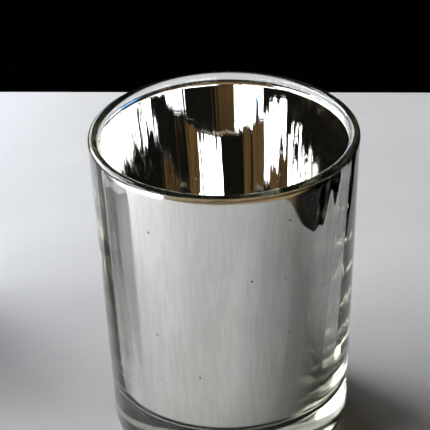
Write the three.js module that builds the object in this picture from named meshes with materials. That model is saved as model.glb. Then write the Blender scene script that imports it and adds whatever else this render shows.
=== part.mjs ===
// A mirror-lined glass candle holder: a pressed clear glass tumbler with a heavy base, lined inside
// with a bright metal film that is sealed by a clear lacquer.
//
// Frame: millimetres, +Z up along the axis of the glass, origin at the middle of the resting ring.

import * as THREE from "three";

// Glass, outside
const RIM_DIAMETER = 65; // widest point of the rounded rim
const HEIGHT = 80;
const OUTER_DRAFT = THREE.MathUtils.degToRad(2.33); // the outside widens upwards by this angle
const RIM_WALL = 2.35; // wall at the rim, which is one full round
const HEEL_RADIUS = 2.2; // round between the outer wall and the resting ring

// Glass, inside
const INNER_DRAFT = THREE.MathUtils.degToRad(5.15); // more than outside, so the wall thickens downwards
const FLOOR_HEIGHT = 8.4; // top of the thick glass base
const FLOOR_FILLET = 5; // round between the inner wall and the floor

// Glass, underside
const PUNT_DEPTH = 1.2; // hollow of the underside at the axis
const PUNT_RADIUS = 22.5; // where the hollow ends and the flat resting ring starts

// Lining, from the glass inwards
const LINING_TOP = 78.6; // height of the film's edge: only the round of the rim above it is bare
const CLEARANCE = 0.02; // between the glass, the film and the lacquer
const FILM_THICKNESS = 0.1;
const LACQUER_THICKNESS = 0.1;

// Fineness
const SEGMENTS = 72; // facets round the axis, the same on all pieces so that they nest
const PUNT_STEPS = 5;
const HEEL_STEPS = 5;
const RIM_STEPS = 5; // in each half of the rim's round
const FILLET_STEPS = 5;

const RIM_RADIUS = RIM_WALL / 2;
const RIM_CENTRE = new THREE.Vector2(RIM_DIAMETER / 2 - RIM_RADIUS, HEIGHT - RIM_RADIUS);

// Points of an arc, from one angle to the other, both ends included.
function arc(centre, radius, from, to, steps) {
  const points = [];
  for (let i = 0; i <= steps; i++) {
    const angle = from + ((to - from) * i) / steps;
    points.push(new THREE.Vector2(radius * Math.cos(angle), radius * Math.sin(angle)).add(centre));
  }
  return points;
}

// The shallow hollow of the underside, from its deepest point on the axis out to the resting ring.
function puntArc() {
  const radius = (PUNT_RADIUS ** 2 + PUNT_DEPTH ** 2) / (2 * PUNT_DEPTH);
  const half = Math.asin(PUNT_RADIUS / radius);
  const centre = new THREE.Vector2(0, PUNT_DEPTH - radius);
  const points = arc(centre, radius, Math.PI / 2, Math.PI / 2 - half, PUNT_STEPS);
  points[0].x = 0;
  points[PUNT_STEPS].y = 0;
  return points;
}

// The heel's arc is tangent to the table and to the outer wall, which is itself tangent to the rim.
function heelArc() {
  const normal = new THREE.Vector2(Math.cos(OUTER_DRAFT), -Math.sin(OUTER_DRAFT));
  const wallOffset = normal.dot(RIM_CENTRE) + RIM_RADIUS;
  const x = (wallOffset - HEEL_RADIUS + HEEL_RADIUS * Math.sin(OUTER_DRAFT)) / Math.cos(OUTER_DRAFT);
  return arc(new THREE.Vector2(x, HEEL_RADIUS), HEEL_RADIUS, -Math.PI / 2, -OUTER_DRAFT, HEEL_STEPS);
}

// The rim's full round, by way of its widest and its highest point.
function rimArc() {
  return [
    ...arc(RIM_CENTRE, RIM_RADIUS, -OUTER_DRAFT, 0, 1),
    ...arc(RIM_CENTRE, RIM_RADIUS, 0, Math.PI / 2, RIM_STEPS).slice(1),
    ...arc(RIM_CENTRE, RIM_RADIUS, Math.PI / 2, Math.PI - INNER_DRAFT, RIM_STEPS).slice(1),
  ];
}

// Radius of the inner wall's surface at a height, moved inwards by an offset.
function innerRadius(height, offset) {
  const normal = new THREE.Vector2(-Math.cos(INNER_DRAFT), Math.sin(INNER_DRAFT));
  const wallOffset = normal.dot(RIM_CENTRE) + RIM_RADIUS;
  return (height * Math.sin(INNER_DRAFT) - wallOffset - offset) / Math.cos(INNER_DRAFT);
}

// The fillet between the inner wall and the floor, from the wall down to the floor.
function filletArc(offset) {
  const height = FLOOR_HEIGHT + FLOOR_FILLET;
  const centre = new THREE.Vector2(innerRadius(height, FLOOR_FILLET), height);
  return arc(centre, FLOOR_FILLET - offset, -INNER_DRAFT, -Math.PI / 2, FILLET_STEPS);
}

// A body turned about the upright axis from an outline of radius and height.
function turned(name, outline, material) {
  const geometry = new THREE.LatheGeometry(outline, SEGMENTS);
  geometry.rotateX(Math.PI / 2);
  const mesh = new THREE.Mesh(geometry, material);
  mesh.name = name;
  return mesh;
}

function glassTumbler() {
  const outline = [
    ...puntArc(),
    ...heelArc(),
    ...rimArc(),
    ...filletArc(0),
    new THREE.Vector2(0, FLOOR_HEIGHT),
  ];
  const glass = new THREE.MeshStandardMaterial({
    color: 0xe4eae6,
    roughness: 0.03,
    metalness: 0,
    transparent: true,
    opacity: 0.35,
  });
  return turned("glass_tumbler", outline, glass);
}

// A skin that lines the floor, the fillet and the wall, between two offsets from the glass.
function lining(name, near, far, material) {
  const outline = [
    new THREE.Vector2(0, FLOOR_HEIGHT + near),
    ...filletArc(near).reverse(),
    new THREE.Vector2(innerRadius(LINING_TOP, near), LINING_TOP),
    new THREE.Vector2(innerRadius(LINING_TOP, far), LINING_TOP),
    ...filletArc(far),
    new THREE.Vector2(0, FLOOR_HEIGHT + far),
  ];
  return turned(name, outline, material);
}

function mirrorCoating() {
  const metal = new THREE.MeshStandardMaterial({ color: 0xe6e4df, roughness: 0.05, metalness: 1 });
  return lining("mirror_coating", CLEARANCE, CLEARANCE + FILM_THICKNESS, metal);
}

function clearLacquer() {
  const lacquer = new THREE.MeshStandardMaterial({
    color: 0xf4f2ea,
    roughness: 0.06,
    metalness: 0,
    transparent: true,
    opacity: 0.15,
  });
  const near = 2 * CLEARANCE + FILM_THICKNESS;
  return lining("clear_lacquer", near, near + LACQUER_THICKNESS, lacquer);
}

const holder = new THREE.Group();
holder.add(glassTumbler(), mirrorCoating(), clearLacquer());

export default holder;
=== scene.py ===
# Looks of a mirror-lined glass candle holder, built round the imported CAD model.
# Metres, +Z up, in the CAD model's own frame.

import math

import bpy
import numpy as np
from mathutils import Matrix, Vector


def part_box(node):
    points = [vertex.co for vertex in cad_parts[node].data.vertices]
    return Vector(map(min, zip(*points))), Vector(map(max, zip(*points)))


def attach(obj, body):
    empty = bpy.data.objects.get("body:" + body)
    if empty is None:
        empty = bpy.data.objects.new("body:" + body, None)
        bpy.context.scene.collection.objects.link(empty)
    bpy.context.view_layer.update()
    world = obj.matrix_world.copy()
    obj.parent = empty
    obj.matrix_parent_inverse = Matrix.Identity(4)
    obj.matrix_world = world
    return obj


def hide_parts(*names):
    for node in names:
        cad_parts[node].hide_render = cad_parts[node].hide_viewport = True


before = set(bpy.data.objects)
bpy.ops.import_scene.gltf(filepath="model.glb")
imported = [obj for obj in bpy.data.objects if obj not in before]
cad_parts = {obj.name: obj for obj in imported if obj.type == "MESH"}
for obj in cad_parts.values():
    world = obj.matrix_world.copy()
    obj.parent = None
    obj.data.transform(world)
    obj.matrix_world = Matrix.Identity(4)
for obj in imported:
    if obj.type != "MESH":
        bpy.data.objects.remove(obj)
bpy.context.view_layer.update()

MM = 0.001

# Sizes read from the CAD model
GLASS_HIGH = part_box("glass_tumbler")[1]
FILM_LOW, FILM_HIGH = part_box("mirror_coating")
RIM_OUTER_RADIUS = GLASS_HIGH.x
HEIGHT = GLASS_HIGH.z
FILM_TOP = FILM_HIGH.z

# Shape of the glass, as the CAD model has it
OUTER_DRAFT = math.radians(2.33)
INNER_DRAFT = math.radians(5.15)
RIM_RADIUS = 2.35 * MM / 2
HEEL_RADIUS = 2.2 * MM
CLEARANCE = 0.02 * MM
FLOOR_HEIGHT = FILM_LOW.z - CLEARANCE
FLOOR_FILLET = 5 * MM
PUNT_DEPTH = 1.2 * MM
PUNT_RADIUS = 22.5 * MM
FILM_THICKNESS = 0.1 * MM
LACQUER_THICKNESS = 0.1 * MM

RIM_CENTRE = Vector((RIM_OUTER_RADIUS - RIM_RADIUS, HEIGHT - RIM_RADIUS))

# The film's ragged edge and the bead of lacquer over it, in which this model differs from the CAD model
BEAD_HEIGHT = 0.22 * MM  # of the part of the bead that closes over the film's edge to the glass
BEAD_TAIL = 0.5 * MM  # how far the bead runs down in front of the film, below that part
EDGE_DROP = 0.27 * MM  # from that part down to the film's edge, on average

# Fineness of the turned meshes
SEGMENTS = 480
WALL_STEPS = 56
PUNT_STEPS = 20
HEEL_STEPS = 12
RIM_STEPS = 14  # in each half of the rim's round
FILLET_STEPS = 14
FLOOR_STEPS = 8


# ---------------------------------------------------------------- outlines

def arc(centre, radius, start, end, steps):
    """Points (radius, height) of an arc, both ends included."""
    angles = np.linspace(start, end, steps + 1)
    return [(centre[0] + radius * math.cos(a), centre[1] + radius * math.sin(a)) for a in angles]


def line(start, end, steps):
    """Points from start to end, both ends left out."""
    return [tuple(Vector(start).lerp(Vector(end), i / steps)) for i in range(1, steps)]


def inner_radius(height, offset=0.0):
    """Radius of the inner wall at a height, moved towards the axis by offset."""
    c, s = math.cos(INNER_DRAFT), math.sin(INNER_DRAFT)
    wall = -c * RIM_CENTRE.x + s * RIM_CENTRE.y + RIM_RADIUS
    return (height * s - wall - offset) / c


def fillet(offset, steps):
    """The round between the inner wall and the floor, from the wall down."""
    height = FLOOR_HEIGHT + FLOOR_FILLET
    centre = (inner_radius(height, FLOOR_FILLET), height)
    return arc(centre, FLOOR_FILLET - offset, -INNER_DRAFT, -math.pi / 2, steps)


def punt():
    """The shallow hollow of the underside, from the axis outwards."""
    radius = (PUNT_RADIUS**2 + PUNT_DEPTH**2) / (2 * PUNT_DEPTH)
    half = math.asin(PUNT_RADIUS / radius)
    points = arc((0, PUNT_DEPTH - radius), radius, math.pi / 2, math.pi / 2 - half, PUNT_STEPS)
    return [(0.0, points[0][1])] + points[1:-1] + [(PUNT_RADIUS, 0.0)]


def heel():
    """The round between the resting ring and the outer wall."""
    c, s = math.cos(OUTER_DRAFT), math.sin(OUTER_DRAFT)
    wall = c * RIM_CENTRE.x - s * RIM_CENTRE.y + RIM_RADIUS
    x = (wall - HEEL_RADIUS + HEEL_RADIUS * s) / c
    return arc((x, HEEL_RADIUS), HEEL_RADIUS, -math.pi / 2, -OUTER_DRAFT, HEEL_STEPS)


def rim():
    """The full round of the rim, by way of its widest and highest points."""
    return (
        arc(RIM_CENTRE, RIM_RADIUS, -OUTER_DRAFT, 0, 1)
        + arc(RIM_CENTRE, RIM_RADIUS, 0, math.pi / 2, RIM_STEPS)[1:]
        + arc(RIM_CENTRE, RIM_RADIUS, math.pi / 2, math.pi - INNER_DRAFT, RIM_STEPS)[1:]
    )


# ---------------------------------------------------------------- small unevenness of pressed glass

# Each kind of wave is given by how many lobes go round the axis and by their sizes in mm
SLOW_LOBES = (2, 3, 5, 8)
SLOW_SIZES = (0.006, 0.010, 0.012, 0.010)
FINE_LOBES = (13, 19, 29, 41, 53)
FINE_SIZES = (0.0090, 0.0085, 0.0075, 0.0060, 0.0048)
WALL_LOBES = (2, 3, 5, 7)
WALL_SIZES = (0.012, 0.010, 0.006, 0.004)
WALL_SWELL = 0.004  # size in mm of the wave up the outer wall
WALL_SWELL_TURN = 9  # radians of that wave over the height
WALL_SINK = 0.036  # the most in mm that the outer waves add up to
EDGE_LOBES = (2, 5, 11, 23, 37, 53, 79)
EDGE_SIZES = (0.09, 0.05, 0.04, 0.03, 0.02, 0.01, 0.01)

TWIST = 0.1  # radians by which the bore's ripples lean over the height of the wall

# The waves are at their full size from 1/6 (bore) and 1/8 (outside) of the wall's height upwards, and
# die out over this length below the rim
BORE_RISE = 6
WALL_RISE = 8
BORE_FADE = 2 * MM
WALL_FADE = 4 * MM


def waves(angle, lobes, sizes, seed):
    """A smooth closed curve round the axis: a sum of cosines with seeded phases."""
    phases = np.random.default_rng(seed).uniform(0, 2 * math.pi, len(lobes))
    return sum(a * np.cos(k * angle + p) for k, a, p in zip(lobes, sizes, phases))


def bore_ripple(angle, height):
    """Radial unevenness of the inner wall: upright ripples that fade out at the floor and the rim."""
    span = (height - FLOOR_HEIGHT - FLOOR_FILLET) / (FILM_TOP - FLOOR_HEIGHT - FLOOR_FILLET)
    fade = np.clip(span * BORE_RISE, 0, 1) * np.clip((HEIGHT - RIM_RADIUS - height) / BORE_FADE, 0, 1)
    slow = waves(angle + TWIST * span, SLOW_LOBES, SLOW_SIZES, seed=11)
    fine = waves(angle - TWIST * span, FINE_LOBES, FINE_SIZES, seed=4)
    return (slow + fine) * fade * MM


def wall_ripple(angle, height):
    """Radial unevenness of the outer wall, always inwards so that the glass stays within its size."""
    span = height / HEIGHT
    below_rim = (HEIGHT - 2 * RIM_RADIUS - height) / WALL_FADE
    fade = np.clip(span * WALL_RISE, 0, 1) * np.clip(below_rim, 0, 1)
    swell = waves(angle, WALL_LOBES, WALL_SIZES, seed=5) + WALL_SWELL * np.cos(WALL_SWELL_TURN * span)
    return (swell - WALL_SINK) * fade * MM


def edge_height(angle):
    """Height of the film's slightly ragged upper edge, always below the closed part of the bead."""
    rag = waves(angle, EDGE_LOBES, EDGE_SIZES, seed=6)
    return FILM_TOP - BEAD_HEIGHT - EDGE_DROP + rag * MM


# ---------------------------------------------------------------- meshes

def smooth_piece(name, verts, faces):
    """A smooth-shaded piece in the scene, from its points and faces."""
    mesh = bpy.data.meshes.new(name)
    mesh.from_pydata(verts, [], faces)
    mesh.validate()
    for face in mesh.polygons:
        face.use_smooth = True
    piece = bpy.data.objects.new(name, mesh)
    bpy.context.scene.collection.objects.link(piece)
    return piece


def looped_mesh(name, rows):
    """A closed ring from rows of points: each row goes once round the axis, and the last row joins
    the first."""
    n = SEGMENTS
    m = len(rows)
    verts = [tuple(p) for row in rows for p in row]
    faces = [
        (i * n + k, i * n + (k + 1) % n, (i + 1) % m * n + (k + 1) % n, (i + 1) % m * n + k)
        for i in range(m)
        for k in range(n)
    ]
    return smooth_piece(name, verts, faces)


def turned_mesh(name, rows):
    """A closed body from rows of points: each row goes once round the axis, and the two end rows
    are single points on the axis."""
    verts = [tuple(rows[0][0])]
    for row in rows[1:-1]:
        verts += [tuple(p) for p in row]
    verts.append(tuple(rows[-1][0]))
    n = SEGMENTS
    faces = []
    first = 1
    last = len(verts) - 1 - n
    for k in range(n):
        faces.append((0, first + (k + 1) % n, first + k))
        faces.append((len(verts) - 1, last + k, last + (k + 1) % n))
    for i in range(len(rows) - 3):
        a, b = 1 + i * n, 1 + (i + 1) * n
        for k in range(n):
            faces.append((a + k, a + (k + 1) % n, b + (k + 1) % n, b + k))
    return smooth_piece(name, verts, faces)


ANGLES = np.arange(SEGMENTS) * 2 * math.pi / SEGMENTS


def ring(radius, height):
    """One row of points round the axis; radius and height are numbers or arrays over ANGLES."""
    r = np.broadcast_to(radius, ANGLES.shape)
    z = np.broadcast_to(height, ANGLES.shape)
    return np.stack([r * np.cos(ANGLES), r * np.sin(ANGLES), z], axis=1)


def make_glass():
    """The pressed glass tumbler."""
    underside, foot, lip = punt(), heel(), rim()
    corner = fillet(0, FILLET_STEPS)
    outside = [foot[-1]] + line(foot[-1], lip[0], WALL_STEPS) + [lip[0]]
    inside = [lip[-1]] + line(lip[-1], corner[0], WALL_STEPS) + [corner[0]]
    floor = line(corner[-1], (0, FLOOR_HEIGHT), FLOOR_STEPS)
    rows = [ring(r, z) for r, z in underside + foot[:-1]]
    rows += [ring(r + wall_ripple(ANGLES, z), z) for r, z in outside]
    rows += [ring(r, z) for r, z in lip[1:-1]]
    rows += [ring(r + bore_ripple(ANGLES, z), z) for r, z in inside]
    rows += [ring(r, z) for r, z in corner[1:] + floor + [(0, FLOOR_HEIGHT)]]
    return turned_mesh("pressed_glass", rows)


def skin_rows(offset, top):
    """Rows of a skin over the floor, fillet and wall, from the axis out and up to the edge."""
    corner = fillet(offset, FILLET_STEPS)[::-1]
    floor = line((0, FLOOR_HEIGHT + offset), corner[0], FLOOR_STEPS)
    rows = [ring(r, z) for r, z in [(0, FLOOR_HEIGHT + offset)] + floor + corner]
    base = corner[-1][1]
    for i in range(1, WALL_STEPS + 1):
        z = base + (top - base) * i / WALL_STEPS
        rows.append(ring(inner_radius(z, offset) + bore_ripple(ANGLES, z), z))
    return rows


def make_film():
    """The metal film on the inner wall, fillet and floor."""
    top = edge_height(ANGLES)
    back = skin_rows(CLEARANCE, top)
    front = skin_rows(CLEARANCE + FILM_THICKNESS, top)
    return turned_mesh("mirror_film", back + front[::-1])


def make_lacquer():
    """The bead in which the clear lacquer ends, closed over the film's edge. Below the bead the lacquer
    has no mesh, and the film is seen bare."""
    near = 2 * CLEARANCE + FILM_THICKNESS
    far = near + LACQUER_THICKNESS
    low = FILM_TOP - BEAD_HEIGHT
    top = FILM_TOP
    # Height and distance from the glass, up the back of the bead and over its rounded top
    outline = [
        (low - BEAD_TAIL, far),
        (low - BEAD_TAIL, near),
        (low, near),
        (low + 0.04 * MM, CLEARANCE),
        (top - 0.06 * MM, CLEARANCE),
        (top, near),
        (top - 0.04 * MM, far - 0.02 * MM),
    ]
    rows = [ring(inner_radius(z, offset) + bore_ripple(ANGLES, z), z) for z, offset in outline]
    return looped_mesh("lacquer_bead", rows)


# ---------------------------------------------------------------- materials

# Glass. What it absorbs per metre is the density times one minus the tint
GLASS_SURFACE = (0.985, 0.995, 0.990)
GLASS_INDEX = 1.52
GLASS_TINT = (0.57, 0.59, 0.47)
GLASS_DENSITY = 26.0
UNDERSIDE_ROUGHNESS = 0.08
FLOW_SCALE = 260
FLOW_DEPTH = 0.004 * MM
FLOW_STRETCH = (1, 1, 0.25)

# Film: BACK is the side against the glass, FRONT the side towards the open cup
BACK_SHADE = (0.86, 0.85, 0.845)
BACK_DULL = (0.79, 0.78, 0.765)
FRONT_SHADE = (0.93, 0.93, 0.92)
FRONT_DULL = (0.88, 0.875, 0.86)
STREAK_SCALE = 1400
STREAK_DEPTH = 0.0012 * MM
STREAK_STRETCH = (1, 1, 0.03)
MOTTLE_SCALE = 90
MOTTLE_STRETCH = (1, 1, 0.6)
DULL_TO_BRIGHT = (0.12, 0.36)  # of streaks times mottle, where the tone turns from dull to bright
SMOOTH_TO_ROUGH = (0.40, 0.72)  # of the mottle, where the film turns from smooth to rough
PINHOLE_SCALE = 200.0
PINHOLE_EDGE = (0.045, 0.065)  # distance from a pinhole's middle over which it ends, in cells
PINHOLE_SHADE = 0.12  # of the film's own

# Lacquer
LACQUER_SURFACE = (0.995, 0.990, 0.975)
LACQUER_INDEX = 1.48
PEEL_SCALE = 500
PEEL_DEPTH = 0.0006 * MM


def new_material(name):
    """A material, its node tree and its main shader."""
    material = bpy.data.materials.new(name)
    material.use_nodes = True
    tree = material.node_tree
    return material, tree, tree.nodes["Principled BSDF"]


def add(tree, kind, options=(), **inputs):
    """A new node; an input is given as another node's output or as a plain value."""
    node = tree.nodes.new(kind)
    for key, value in dict(options).items():
        setattr(node, key, value)
    for key, value in inputs.items():
        socket = node.inputs[key.replace("_", " ")]
        if isinstance(value, bpy.types.NodeSocket):
            tree.links.new(value, socket)
        else:
            socket.default_value = value
    return node


def place(tree, stretch=(1, 1, 1)):
    """Object coordinates, stretched: a small third number draws a texture out up the wall."""
    coords = add(tree, "ShaderNodeTexCoord")
    return add(tree, "ShaderNodeMapping", Vector=coords.outputs["Object"], Scale=stretch).outputs[0]


def noise(tree, where, scale, detail=3.0, roughness=0.55):
    """Cloudy values from 0 to 1."""
    return add(tree, "ShaderNodeTexNoise", Vector=where, Scale=scale, Detail=detail,
               Roughness=roughness).outputs["Fac"]


def levels(tree, value, low, high, to_low=0.0, to_high=1.0):
    """A smooth step from one value to another."""
    node = add(tree, "ShaderNodeMapRange", {"interpolation_type": "SMOOTHSTEP"}, Value=value,
               From_Min=low, From_Max=high, To_Min=to_low, To_Max=to_high)
    return node.outputs["Result"]


def times(tree, a, b):
    """The product of two outputs."""
    node = add(tree, "ShaderNodeMath", {"operation": "MULTIPLY"})
    tree.links.new(a, node.inputs[0])
    tree.links.new(b, node.inputs[1])
    return node.outputs[0]


def blend(tree, factor, low, high):
    """A colour between two others."""
    node = add(tree, "ShaderNodeMix", {"data_type": "RGBA"})
    tree.links.new(factor, node.inputs["Factor"])
    for socket, value in ((node.inputs[6], low), (node.inputs[7], high)):
        if isinstance(value, tuple):
            socket.default_value = (*value, 1)
        else:
            tree.links.new(value, socket)
    return node.outputs[2]


def relief(tree, height, depth):
    """Normals of a surface that rises by depth where height is 1."""
    return add(tree, "ShaderNodeBump", Height=height, Distance=depth, Strength=1.0).outputs[0]


def glass_material(name, roughness):
    """Clear pressed glass, olive where it is thick, with the shallow flow marks of the mould."""
    material, tree, bsdf = new_material(name)
    bsdf.inputs["Base Color"].default_value = (*GLASS_SURFACE, 1)
    bsdf.inputs["Transmission Weight"].default_value = 1
    bsdf.inputs["Roughness"].default_value = roughness
    bsdf.inputs["IOR"].default_value = GLASS_INDEX
    flow = noise(tree, place(tree, FLOW_STRETCH), FLOW_SCALE)
    tree.links.new(relief(tree, flow, FLOW_DEPTH), bsdf.inputs["Normal"])
    tint = add(tree, "ShaderNodeVolumeAbsorption", Color=(*GLASS_TINT, 1), Density=GLASS_DENSITY)
    tree.links.new(tint.outputs[0], tree.nodes["Material Output"].inputs["Volume"])
    return material


def film_material(name, shade, dull, smooth, rough):
    """Bright metal film, with upright streaks, a slow mottle and a few pinholes."""
    material, tree, bsdf = new_material(name)
    bsdf.inputs["Metallic"].default_value = 1
    streaks = noise(tree, place(tree, STREAK_STRETCH), STREAK_SCALE, detail=2.0)
    mottle = noise(tree, place(tree, MOTTLE_STRETCH), MOTTLE_SCALE, detail=4.0)
    tone = blend(tree, levels(tree, times(tree, streaks, mottle), *DULL_TO_BRIGHT), dull, shade)
    cells = add(tree, "ShaderNodeTexVoronoi", Vector=place(tree), Scale=PINHOLE_SCALE)
    spots = levels(tree, cells.outputs["Distance"], *PINHOLE_EDGE)
    tone = blend(tree, spots, tuple(PINHOLE_SHADE * c for c in shade), tone)
    tree.links.new(tone, bsdf.inputs["Base Color"])
    tree.links.new(levels(tree, mottle, *SMOOTH_TO_ROUGH, smooth, rough), bsdf.inputs["Roughness"])
    tree.links.new(relief(tree, streaks, STREAK_DEPTH), bsdf.inputs["Normal"])
    return material


def lacquer_material():
    """Clear lacquer with a faint orange peel."""
    material, tree, bsdf = new_material("clear_lacquer_coat")
    bsdf.inputs["Base Color"].default_value = (*LACQUER_SURFACE, 1)
    bsdf.inputs["Transmission Weight"].default_value = 1
    bsdf.inputs["Roughness"].default_value = 0
    bsdf.inputs["IOR"].default_value = LACQUER_INDEX
    peel = noise(tree, place(tree), PEEL_SCALE)
    tree.links.new(relief(tree, peel, PEEL_DEPTH), bsdf.inputs["Normal"])
    return material


# ---------------------------------------------------------------- stage

# The table: a pale slab that ends not far behind the object and to its right
TABLE_TURN = math.radians(-3.5)
TABLE_FAR = 0.176
TABLE_RIGHT = 0.092
TABLE_LEFT = -0.75
TABLE_NEAR = -0.75
TABLE_THICKNESS = 0.02
TABLE_DARK = (0.57, 0.567, 0.565)
TABLE_LIGHT = (0.62, 0.617, 0.615)
TABLE_CLOUD_SCALE = 14
TABLE_GRAIN_SCALE = 900
TABLE_GRAIN_DEPTH = 0.03 * MM

CARD_SHADE = (0.4, 0.4, 0.4)
# Painted light: the card's glow stands in for light falling on its side that faces the object
CARD_PAINTED_GLOW = 1.2

DAYLIGHT = (0.95, 0.97, 1.0)
BLUE_EDGE = (0.15, 0.42, 1.0)

# The room: black at the horizon, dim higher up, and behind the camera a warm wall with a brown one over it
ROOM_BLACK = (0.0003, 0.0003, 0.0003)
ROOM_DIM = (0.009, 0.009, 0.007)
LOW_WALL = (0.36, 0.25, 0.12)
HIGH_WALL = (0.17, 0.100, 0.040)


def make_table():
    """The table that the object stands on."""
    x0, x1, y0, y1 = TABLE_LEFT, TABLE_RIGHT, TABLE_NEAR, TABLE_FAR
    corners = ((x0, y0), (x1, y0), (x1, y1), (x0, y1))
    verts = [(x, y, z) for z in (-TABLE_THICKNESS, 0) for x, y in corners]
    faces = [(3, 2, 1, 0), (4, 5, 6, 7)] + [(i, (i + 1) % 4, 4 + (i + 1) % 4, 4 + i) for i in range(4)]
    mesh = bpy.data.meshes.new("table")
    mesh.from_pydata(verts, [], faces)
    table = bpy.data.objects.new("table", mesh)
    table.rotation_euler.z = TABLE_TURN
    bpy.context.scene.collection.objects.link(table)
    material, tree, bsdf = new_material("pale_table")
    cloud = noise(tree, place(tree), TABLE_CLOUD_SCALE, detail=5.0)
    shade = blend(tree, levels(tree, cloud, 0.35, 0.65), TABLE_DARK, TABLE_LIGHT)
    tree.links.new(shade, bsdf.inputs["Base Color"])
    bsdf.inputs["Roughness"].default_value = 0.32
    grain = noise(tree, place(tree), TABLE_GRAIN_SCALE)
    tree.links.new(relief(tree, grain, TABLE_GRAIN_DEPTH), bsdf.inputs["Normal"])
    mesh.materials.append(material)
    return table


def side_card(name, azimuth, distance, width, height, shade):
    """A small card that stands beside the object and faces it, with a painted glow: it gives off light
    though it is no lamp, so that it looks lit in reflections. The camera doesn't see it, but its shadow
    and its reflection show."""
    a = math.radians(azimuth)
    w = width / 2
    mesh = bpy.data.meshes.new(name)
    mesh.from_pydata([(-w, 0, 0), (w, 0, 0), (w, 0, height), (-w, 0, height)], [], [(0, 1, 2, 3)])
    card = bpy.data.objects.new(name, mesh)
    card.location = (math.sin(a) * distance, math.cos(a) * distance, 0)
    card.rotation_euler.z = -a
    card.visible_camera = False
    bpy.context.scene.collection.objects.link(card)
    material, tree, bsdf = new_material(name)
    bsdf.inputs["Base Color"].default_value = (*shade, 1)
    bsdf.inputs["Roughness"].default_value = 0.6
    # Painted light: the card glows in its own grey though it is no lamp, so that its reflection looks lit
    bsdf.inputs["Emission Color"].default_value = (*shade, 1)
    bsdf.inputs["Emission Strength"].default_value = CARD_PAINTED_GLOW
    mesh.materials.append(material)
    return card


def soft_panel(name, azimuth, elevation, distance, width, height, radiance, colour=DAYLIGHT):
    """A soft panel that faces the object from a direction: azimuth 0 is +Y, 90 is +X."""
    a, e = math.radians(azimuth), math.radians(elevation)
    towards = Vector((math.sin(a) * math.cos(e), math.cos(a) * math.cos(e), math.sin(e)))
    lamp = bpy.data.lights.new(name, "AREA")
    lamp.shape = "RECTANGLE"
    lamp.size, lamp.size_y = width, height
    lamp.energy = radiance * math.pi * width * height
    lamp.color = colour
    light = bpy.data.objects.new(name, lamp)
    light.location = towards * distance
    light.rotation_mode = "QUATERNION"
    light.rotation_quaternion = towards.to_track_quat("Z", "Y")
    light.visible_camera = False
    bpy.context.scene.collection.objects.link(light)
    return light


def make_world():
    """The dark room, with its two walls behind the camera."""
    world = bpy.data.worlds.new("dark_room")
    bpy.context.scene.world = world
    world.use_nodes = True
    tree = world.node_tree
    background = tree.nodes["Background"]
    coords = add(tree, "ShaderNodeTexCoord")
    split = add(tree, "ShaderNodeSeparateXYZ", Vector=coords.outputs["Generated"])
    # The direction looked in: up is 1 straight overhead, and across is negative behind the camera
    up, across = split.outputs["Z"], split.outputs["Y"]
    room = blend(tree, levels(tree, up, 0.05, 0.35), ROOM_BLACK, ROOM_DIM)
    behind = levels(tree, across, -0.20, -0.60)
    low_wall = times(tree, behind, levels(tree, up, 0.40, 0.20))
    room = blend(tree, low_wall, room, LOW_WALL)
    brown = times(tree, levels(tree, across, -0.45, -0.80), levels(tree, up, 0.34, 0.46))
    brown = times(tree, brown, levels(tree, up, 0.80, 0.62))
    tree.links.new(blend(tree, brown, room, HIGH_WALL), background.inputs["Color"])


# ---------------------------------------------------------------- camera

# Found by fitting a camera and a turned outline to the photo's outline. The lens is in mm
CAMERA_BACK = 0.462
CAMERA_HEIGHT = 0.3266
CAMERA_PITCH = math.radians(30.28)
CAMERA_YAW = math.radians(-0.33)
CAMERA_ROLL = math.radians(-1.65)
CAMERA_LENS = 184.2


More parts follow.
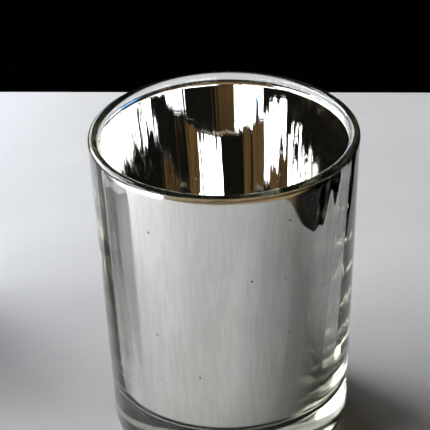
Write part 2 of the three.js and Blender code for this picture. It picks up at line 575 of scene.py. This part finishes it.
def make_camera():
    """The camera of the main view. It aims along the pitch and yaw and is then rolled."""
    data = bpy.data.cameras.new("camera")
    data.lens = CAMERA_LENS
    data.clip_start = 0.01
    data.clip_end = 50
    camera = bpy.data.objects.new("camera", data)
    cp, sp = math.cos(CAMERA_PITCH), math.sin(CAMERA_PITCH)
    forward = Vector((math.sin(CAMERA_YAW) * cp, math.cos(CAMERA_YAW) * cp, -sp))
    right = forward.cross(Vector((0, 0, 1))).normalized()
    up = right.cross(forward)
    c, s = math.cos(CAMERA_ROLL), math.sin(CAMERA_ROLL)
    axes = (c * right + s * up, -s * right + c * up, -forward)
    position = Matrix.Translation((0, -CAMERA_BACK, CAMERA_HEIGHT))
    camera.matrix_world = position @ Matrix(axes).transposed().to_4x4()
    bpy.context.scene.collection.objects.link(camera)
    bpy.context.scene.camera = camera


# ---------------------------------------------------------------- the object

# normal.z is below this on the hollow, the resting ring and the start of the heel's round
STRAIGHT_DOWN = -0.97


def set_slots(piece, materials, second):
    """Two materials on one body: the second goes where the rule on the face's normal says so."""
    for material in materials:
        piece.data.materials.append(material)
    for face in piece.data.polygons:
        face.material_index = 1 if second(face.normal) else 0


glass = make_glass()
polished = glass_material("clear_pressed_glass", roughness=0.0)
underside = glass_material("worked_underside_glass", roughness=UNDERSIDE_ROUGHNESS)
set_slots(glass, (polished, underside), lambda normal: normal.z < STRAIGHT_DOWN)
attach(glass, "root")
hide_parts("glass_tumbler")

film = make_film()
behind_glass = film_material("film_behind_glass", BACK_SHADE, BACK_DULL, smooth=0.025, rough=0.07)
under_lacquer = film_material("film_under_lacquer", FRONT_SHADE, FRONT_DULL, smooth=0.0, rough=0.03)
set_slots(film, (behind_glass, under_lacquer), lambda normal: normal.z > 0)
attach(film, "root")
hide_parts("mirror_coating")

lacquer = make_lacquer()
lacquer.data.materials.append(lacquer_material())
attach(lacquer, "root")
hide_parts("clear_lacquer")

make_table()
make_world()
soft_panel("window_left", azimuth=-104, elevation=23, distance=0.9, width=0.68, height=0.50, radiance=7)
soft_panel("window_middle", azimuth=-62, elevation=23, distance=0.9, width=0.68, height=0.50, radiance=13)
soft_panel("window_right", azimuth=-27, elevation=18, distance=1.2, width=0.57, height=0.42, radiance=4)
soft_panel("window_edge", azimuth=-11.5, elevation=18, distance=1.2, width=0.08, height=0.40, radiance=3,
           colour=BLUE_EDGE)
soft_panel("key", azimuth=-50, elevation=47, distance=1.0, width=0.30, height=0.30, radiance=7)
side_card("side_card", azimuth=-69.5, distance=0.106, width=0.056, height=0.072, shade=CARD_SHADE)
make_camera()

scene = bpy.context.scene
scene.view_settings.view_transform = "Standard"
scene.cycles.max_bounces = 48
scene.cycles.glossy_bounces = 32
scene.cycles.transmission_bounces = 32
